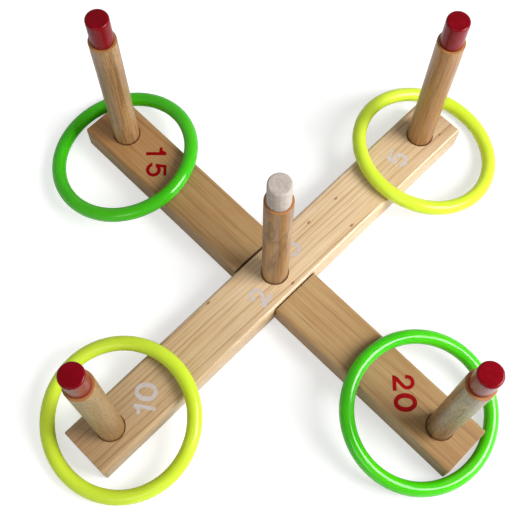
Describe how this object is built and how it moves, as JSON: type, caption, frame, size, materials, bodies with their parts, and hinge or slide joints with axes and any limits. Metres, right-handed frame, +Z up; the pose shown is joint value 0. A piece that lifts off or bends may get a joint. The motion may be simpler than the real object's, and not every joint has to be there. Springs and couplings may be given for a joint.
{
  "type": "ring toss set",
  "caption": "Lawn ring toss game: two crossed wooden boards with numbered upright pegs and plastic tube rings tossed over them.",
  "frame": {"origin": "centre of the cross, on the plane the boards stand on", "axes": "+Z up along the pegs; +X along the base board towards peg 20; +Y along the cap board towards peg 5"},
  "size_m": [0.5392, 0.5575, 0.228],
  "materials": {
    "base_pine": "semi-gloss clear lacquer, warm broad grain",
    "cap_pine": "semi-gloss clear lacquer, pale straight grain",
    "peg_wood": "satin lacquer on pored hardwood, neck and top painted gloss dark red",
    "peg_wood_plain": "satin lacquer on pored hardwood, neck and top painted thin off-white",
    "ring_green": "gloss green plastic tube",
    "ring_lime": "gloss yellow-green plastic tube",
    "ring_plug": "plain moulded plastic"
  },
  "bodies": {
    "base": {"base_board": "base_pine"},
    "cap": {"cap_board": "cap_pine"},
    "peg_5": {"peg_5": "peg_wood"},
    "peg_10": {"peg_10": "peg_wood"},
    "peg_15": {"peg_15": "peg_wood"},
    "peg_20": {"peg_20": "peg_wood"},
    "peg_25": {"peg_25": "peg_wood_plain"},
    "ring_5": {"ring_5": "ring_lime", "ring_plug_5": "ring_plug"},
    "ring_10": {"ring_10": "ring_lime", "ring_plug_10": "ring_plug"},
    "ring_15": {"ring_15": "ring_green", "ring_plug_15": "ring_plug"},
    "ring_20": {"ring_20": "ring_green", "ring_plug_20": "ring_plug"}
  },
  "joints": [
    {"name": "cap_board_lift", "type": "slide", "parent": "base", "child": "cap", "axis": [0, 0, 1], "range_m": [0, 0.15]},
    {"name": "peg_5_lift", "type": "slide", "parent": "cap", "child": "peg_5", "axis": [0, 0, 1], "range_m": [0, 0.1]},
    {"name": "peg_10_lift", "type": "slide", "parent": "cap", "child": "peg_10", "axis": [0, 0, 1], "range_m": [0, 0.1]},
    {"name": "peg_15_lift", "type": "slide", "parent": "base", "child": "peg_15", "axis": [0, 0, 1], "range_m": [0, 0.1]},
    {"name": "peg_20_lift", "type": "slide", "parent": "base", "child": "peg_20", "axis": [0, 0, 1], "range_m": [0, 0.1]},
    {"name": "peg_25_lift", "type": "slide", "parent": "cap", "child": "peg_25", "axis": [0, 0, 1], "range_m": [0, 0.1]},
    {"name": "ring_5_lift", "type": "slide", "parent": "cap", "child": "ring_5", "axis": [0, 0, 1], "range_m": [0, 0.35]},
    {"name": "ring_10_lift", "type": "slide", "parent": "cap", "child": "ring_10", "axis": [0, 0, 1], "range_m": [0, 0.35]},
    {"name": "ring_15_lift", "type": "slide", "parent": "base", "child": "ring_15", "axis": [0, 0, 1], "range_m": [0, 0.35]},
    {"name": "ring_20_lift", "type": "slide", "parent": "base", "child": "ring_20", "axis": [0, 0, 1], "range_m": [0, 0.35]}
  ]
}
